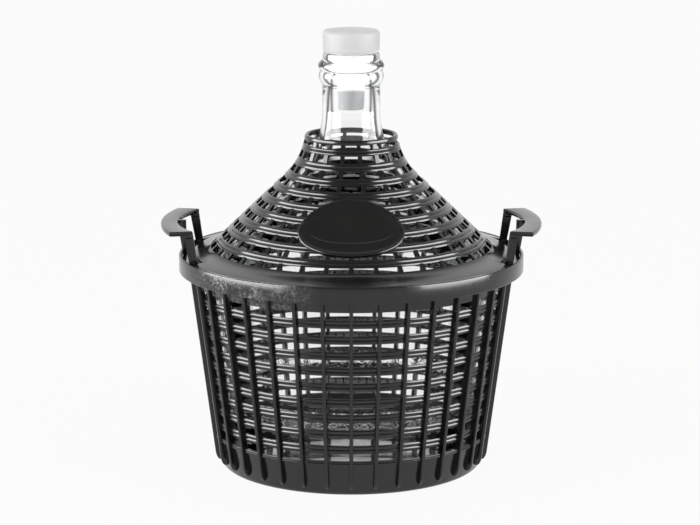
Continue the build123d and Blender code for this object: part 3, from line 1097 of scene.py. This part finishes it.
@dataclass
class OvalPlate:
    """The bare oval plate on the front of the cover. Sizes in millimetres."""

    cover: Cover
    width: float = 75.0
    height: float = 49.0
    centre: float = 41.0
    stand: float = 0.8
    root: float = 1.6
    field_width: float = 58.8
    field_height: float = 27.0
    field_sink: float = 0.3
    bead: float = 0.5
    bead_place: Point = (1.78, 1.98)
    edge: float = 0.3
    spokes: int = 120

    def point(self, x: float, t: float, depth: float) -> Spot:
        """Point of the plate.

        Args:
            x: How far across the front it lies.
            t: How far up the slope from the plate's middle it lies, seen square on.
            depth: How deep under the cone's surface it lies.

        Returns:
            The point.
        """
        s = self.centre + t
        fall = math.cos(math.radians(self.cover.cone_angle))
        for _ in range(6):
            radius = self.cover.slope(s)[0]
            s = self.centre + t - radius * (1 - math.sqrt(1 - (x / radius) ** 2)) * fall
        radius, z = self.cover.slope(s, depth)
        return x, -math.sqrt(radius * radius - x * x), z

    def loop(self, half_x: float, half_t: float, depth: float) -> list[Spot]:
        """Gives an oval of points.

        Args:
            half_x: Half its width.
            half_t: Half its height up the slope.
            depth: How deep under the cone's surface it lies.

        Returns:
            The points.
        """
        turns = [2 * math.pi * spoke / self.spokes for spoke in range(self.spokes)]
        return [self.point(half_x * math.cos(turn), half_t * math.sin(turn), depth) for turn in turns]

    def rings(self) -> list[Point]:
        """Gives the plate's rings, from its middle outwards.

        Returns:
            For each, its place and its depth. The place runs from 0 to 1 over the field and to 2 at the edge.
        """
        face = -self.stand
        sunk = face + self.field_sink
        step = 0.1 * self.field_sink
        rings = [(place, sunk) for place in (0.3, 0.6, 0.85, 0.955)]
        rings += [(0.985, sunk - step), (1.015, face + step)]
        rings += [(place, face) for place in (1.045, 1.2, 1.4, 1.6, 1.76)]
        first, last = self.bead_place
        for share in range(1, 8):
            angle = math.pi * share / 8
            place = first + (last - first) * (1 - math.cos(angle)) / 2
            rings.append((place, face - self.bead * math.sin(angle)))
        return rings + [(1.99, face + self.edge / 3), (2.0, face + self.edge), (2.0, self.root)]

    def make(self, name: str) -> bpy.types.Object:
        """Builds the plate.

        Args:
            name: The piece's name.

        Returns:
            The piece.
        """
        places = [0.0, 1.0, 2.0]
        widths = [0.0, self.field_width / 2, self.width / 2]
        heights = [0.0, self.field_height / 2, self.height / 2]
        loops = []
        for place, depth in self.rings():
            half_x, half_t = np.interp(place, places, widths), np.interp(place, places, heights)
            loops.append(self.loop(float(half_x), float(half_t), depth))
        for share in (0.66, 0.33):
            loops.append(self.loop(share * self.width / 2, share * self.height / 2, self.root))
        draft = Draft()
        draft.skin(np.array(loops, float), ring=False)
        return draft.piece(name, crease=50.0)


@dataclass
class Bottle:
    """The blown bottle. Sizes in millimetres."""

    cover: Cover
    glass: float = 3.6
    gap: float = 3.4
    foot_round: float = 14.0
    shoulder_gap: float = 3.2
    shoulder_round: float = 30.0
    throat_round: float = 65.0
    neck: float = 20.9
    bore: float = 17.0
    mouth_height: float = 302.3
    mouth: float = 20.5
    lip_drop: float = 5.0
    lip_round: float = 1.4
    bore_round: float = 0.6
    rim_depth: float = 1.0
    bead_fullness: float = 0.8
    upper_bead: float = 23.7
    upper_height: float = 8.0
    waist: float = 22.0
    lower_bead: float = 23.3
    lower_height: float = 10.0
    steps: int = 144
    finish: BlownGlass = field(default_factory=BlownGlass)

    def corners(self, wall: float, neck: float) -> Outline:
        """Corners of the body, from the middle of its foot to the neck.

        Args:
            wall: How deep in the glass they lie.
            neck: The radius of the neck.

        Returns:
            The corners.
        """
        basket = self.cover.basket
        foot = basket.floor + self.cover.seat_gap + wall
        inside = basket.wall + self.gap
        climb = math.tan(math.radians(self.cover.cone_angle))
        body_low = basket.surface(self.foot_round, inside)[0] - wall
        under = basket.ledge_top - basket.ledge
        body = basket.surface(under, inside + basket.flare * self.shoulder_round)[0] - wall
        edge_r, edge_z = self.cover.slope(0, self.cover.wall + self.shoulder_gap + wall)
        shoulder_z = edge_z - (body - edge_r) * climb
        throat_z = edge_z + (edge_r - neck) * climb
        return [(0, foot), (body_low, foot), (body, shoulder_z), (neck, throat_z)]

    def bead(self, low: Point, peak: float, high: Point) -> Outline:
        """Rounded bead round the neck, between two points.

        Args:
            low: Where it starts.
            peak: Its largest radius.
            high: Where it ends.

        Returns:
            The points between the two.
        """
        points = []
        for step in range(1, 12):
            share = step / 12
            base = low[0] + share * (high[0] - low[0])
            swell = math.sin(math.pi * share) ** self.bead_fullness
            radius = base + (peak - (low[0] + high[0]) / 2) * swell
            points.append((radius, low[1] + share * (high[1] - low[1])))
        return points

    def build(self) -> None:
        """Builds and dresses the bottle."""
        top = self.mouth_height
        lip = (self.mouth, top - self.lip_drop)
        waist = (self.waist, lip[1] - self.upper_height)
        collar = (self.neck, waist[1] - self.lower_height)
        bends = [self.foot_round, self.shoulder_round, self.throat_round]
        outside = rounded(self.corners(0, self.neck) + [collar], [0, *bends, 0], steps=20, closed=False)
        glass = self.glass
        bends = [self.foot_round - glass, self.shoulder_round - glass, self.throat_round + glass]
        bore = (self.bore, top - self.rim_depth)
        inside = rounded(self.corners(glass, self.bore) + [bore], [0, *bends, 0], steps=20, closed=False)
        mouth = [lip, (self.mouth, top), (self.bore, top), bore]
        rim = rounded(mouth, [0, self.lip_round, self.bore_round, 0], steps=6, closed=False)[:-1]
        outline = outside + self.bead(collar, self.lower_bead, waist) + [waist]
        outline += self.bead(waist, self.upper_bead, lip) + rim + inside[::-1]
        draft = Draft()
        draft.turn(outline, self.steps, closed=False)
        bottle = draft.piece("glass_bottle", crease=60.0)
        settle(bottle, self.finish.make("blown_glass"), Slot.GLASS, VESSEL, "bottle")


@dataclass
class Stopper:
    """The push-in stopper. Sizes in millimetres."""

    bottle: Bottle
    head: float = 20.4
    head_height: float = 15.5
    head_round: float = 2.2
    dish: float = 1.2
    dish_radius: float = 15.0
    dish_floor: float = 12.0
    relief: float = 1.4
    relief_height: float = 1.3
    clearance: float = 0.35
    plug_length: float = 17.5
    plug_end: float = 14.5
    stem_length: float = 23.0
    stem: float = 9.8
    stem_end: float = 9.0
    steps: int = 128
    finish: MilkyPolymer = field(default_factory=MilkyPolymer)

    def build(self) -> None:
        """Builds and dresses the stopper."""
        seat = self.bottle.mouth_height + self.bottle.cover.seat_gap
        top = seat + self.head_height
        plug_low = self.bottle.mouth_height - self.plug_length
        stem_low = plug_low - self.stem_length
        corners = [
            (0, top - self.dish),
            (self.dish_floor, top - self.dish),
            (self.dish_radius, top),
            (self.head, top),
            (self.head, seat + self.relief_height),
            (self.head - self.relief, seat + self.relief_height),
            (self.head - self.relief, seat),
            (self.bottle.bore - self.clearance, seat),
            (self.plug_end, plug_low),
            (self.stem, plug_low),
            (self.stem_end, stem_low),
            (0, stem_low),
        ]
        radii = [0, 2.0, 1.0, self.head_round, 0.4, 0.3, 0.3, 0.3, 1.2, 1.0, 1.0, 0]
        draft = Draft()
        draft.turn(rounded(corners, radii, steps=5, closed=False), self.steps, closed=False)
        stopper = draft.piece("push_in_stopper")
        settle(stopper, self.finish.make("milky_polymer"), Slot.MILKY, "stopper", "stopper")


@dataclass(frozen=True)
class SoftBox:
    """A soft box. One that only shines shows in gloss and lights nothing else. Sizes in metres."""

    name: str
    spot: Spot
    size: Point
    power: float
    only_shines: bool = False

    def hang(self, height: float) -> None:
        """Hangs it so that it faces the upright axis.

        Args:
            height: The height that it faces.
        """
        data = bpy.data.lights.new(self.name, "AREA")
        data.shape = "RECTANGLE"
        data.size, data.size_y = self.size
        data.energy = self.power
        lamp = bpy.data.objects.new(self.name, data)
        bpy.context.scene.collection.objects.link(lamp)
        lamp.location = self.spot
        lamp.visible_camera = False
        lamp.visible_transmission = False
        lamp.visible_diffuse = not self.only_shines
        direction = Vector((0, 0, height)) - lamp.location
        lamp.rotation_euler = direction.to_track_quat("-Z", "Y").to_euler()


@dataclass
class Studio:
    """White floor and backdrop, soft boxes and the camera. Sizes in metres, the lens in millimetres."""

    camera_back: float = 1.987
    camera_side: float = -0.0009
    camera_height: float = 0.5605
    camera_dip: float = 11.72
    lens: float = 143.5
    sensor: float = 36.0
    sight: float = 30.0
    floor_half: float = 6.0
    white: float = 1.0
    front: float = 0.3
    fill: float = 0.5
    back: float = 0.6
    paint: float = 0.9
    glow: float = 0.93
    aim: float = 0.16
    lamps: tuple[SoftBox, ...] = (
        SoftBox("left_box", (-1.15, -0.75, 0.75), (0.6, 0.9), 5.0),
        SoftBox("right_box", (1.15, -0.75, 0.75), (0.6, 0.9), 3.5),
        SoftBox("left_panel", (-1.21, -0.32, 0.45), (1.7, 0.9), 58.0, True),
        SoftBox("right_panel", (1.18, -0.41, 0.45), (1.35, 0.9), 46.0, True),
    )

    def build(self) -> None:
        """Builds the stage, the lamps and the camera."""
        self.make_world()
        self.make_floor()
        for lamp in self.lamps:
            lamp.hang(self.aim)
        self.make_camera()
        bpy.context.scene.view_settings.view_transform = "Standard"

    def seen(self, board: Board) -> tuple[Socket, Socket]:
        """Tells the rays of camera and glass from the rest.

        Args:
            board: The board of the floor or the world.

        Returns:
            1 where the camera looks, also through glass, and 1 where a gloss looks.
        """
        path = board.add("LightPath").outputs
        seen = board.math("MAXIMUM", path["Is Camera Ray"], path["Is Transmission Ray"])
        return seen, path["Is Glossy Ray"]

    def make_world(self) -> None:
        """Makes a world that is white where it is seen and softer where it lights."""
        world = bpy.data.worlds.new("white_room")
        bpy.context.scene.world = world
        board = Board(world)
        seen, glossy = self.seen(board)
        away = board.add("SeparateXYZ", Vector=board.add("TexCoord").outputs["Generated"]).outputs["Y"]
        shine = board.between(away, 0.0, self.back, self.front, self.white)
        strength = board.choose(seen, board.choose(glossy, self.fill, shine), self.white)
        background = board.add("Background", Color=(1, 1, 1, 1), Strength=strength)
        board.add("OutputWorld", Surface=background.outputs[0])

    def make_floor(self) -> None:
        """Lays the white floor, which keeps the object's shadow."""
        half = self.floor_half
        mesh = bpy.data.meshes.new("floor")
        corners = [(-half, -half, 0), (half, -half, 0), (half, half, 0), (-half, half, 0)]
        mesh.from_pydata(corners, [], [(0, 1, 2, 3)])
        floor = bpy.data.objects.new("floor", mesh)
        bpy.context.scene.collection.objects.link(floor)
        material = bpy.data.materials.new("white_floor")
        mesh.materials.append(material)
        board = Board(material)
        share = board.math("MULTIPLY", board.math("MAXIMUM", *self.seen(board)), self.glow)
        paint = board.add("BsdfDiffuse", Color=(self.paint, self.paint, self.paint, 1))
        glow = board.add("Emission", Color=(1, 1, 1, 1))
        board.add("OutputMaterial", Surface=board.blend(share, paint, glow))

    def make_camera(self) -> None:
        """Sets the camera where the photograph was taken from."""
        data = bpy.data.cameras.new("camera")
        data.lens = self.lens
        data.sensor_width = self.sensor
        data.clip_end = self.sight
        camera = bpy.data.objects.new("camera", data)
        bpy.context.scene.collection.objects.link(camera)
        camera.location = (self.camera_side, -self.camera_back, self.camera_height)
        camera.rotation_euler = (math.radians(90 - self.camera_dip), 0, 0)
        bpy.context.scene.camera = camera


def main() -> None:
    """Builds the sub-assemblies in order, then the stage."""
    logging.basicConfig(level=logging.INFO, format="%(name)s %(message)s")
    basket = Basket()
    cover = Cover(basket=basket)
    bottle = Bottle(cover=cover)
    stopper = Stopper(bottle=bottle)
    for part in (basket, cover, bottle, stopper, Studio()):
        part.build()
        log.info("%s done", type(part).__name__)


if __name__ == "__main__":
    main()
